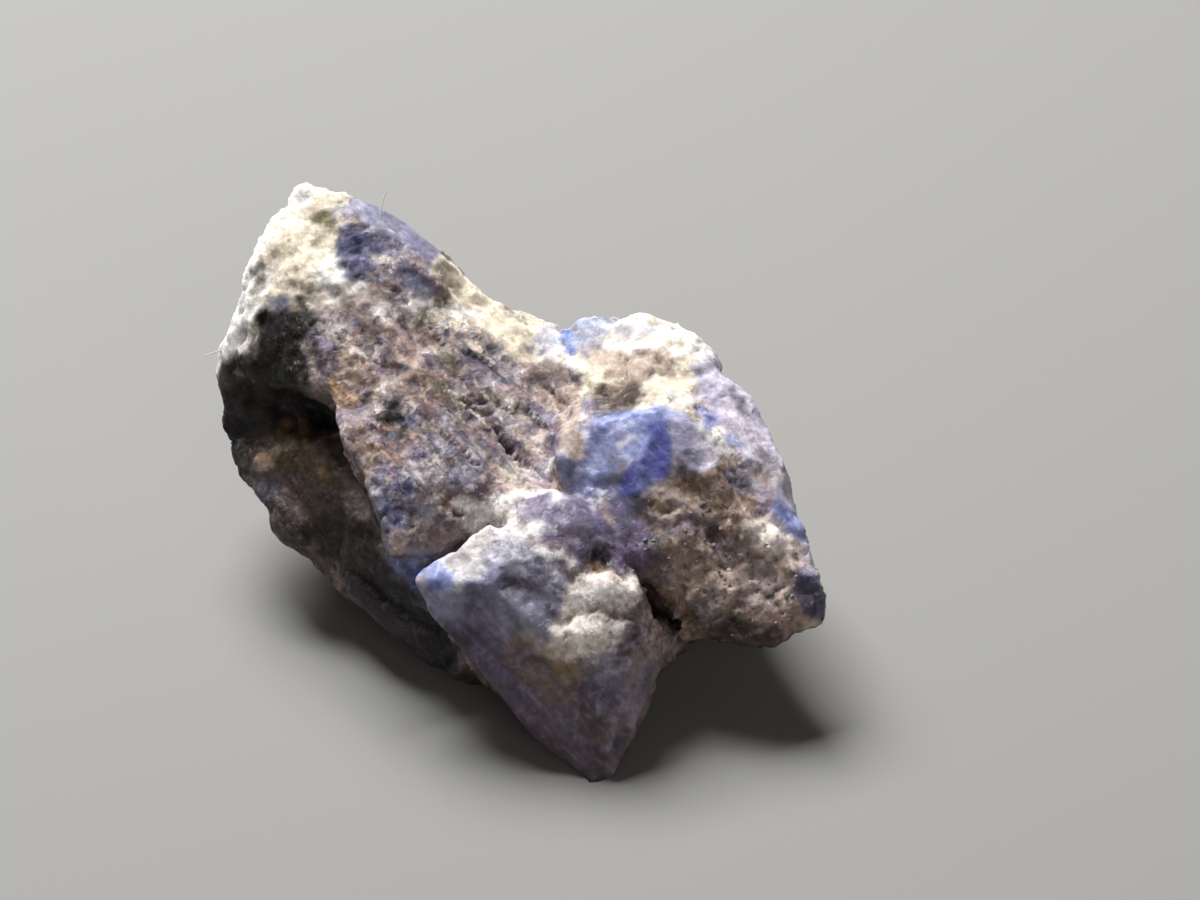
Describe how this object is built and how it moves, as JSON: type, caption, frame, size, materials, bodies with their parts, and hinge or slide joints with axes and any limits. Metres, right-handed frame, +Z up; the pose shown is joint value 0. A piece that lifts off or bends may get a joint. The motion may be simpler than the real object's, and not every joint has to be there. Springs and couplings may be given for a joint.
{
  "type": "carletonite crystal specimen",
  "caption": "Small broken mineral piece of layered lavender to blue crystal with pale crust and a pointed front corner, lying on its underside.",
  "frame": {"origin": "middle of the underside of the specimen's bounding box, where it lies on the table", "axes": "+X to the viewer's right, along the specimen's long side; +Y away from the viewer; +Z up"},
  "size_m": [0.019, 0.0168, 0.0114],
  "materials": {
    "carletonite": "frosted, slightly glassy broken crystal with matt pale crust"
  },
  "bodies": {
    "root": {"carletonite_crystal": "carletonite"}
  },
  "joints": []
}
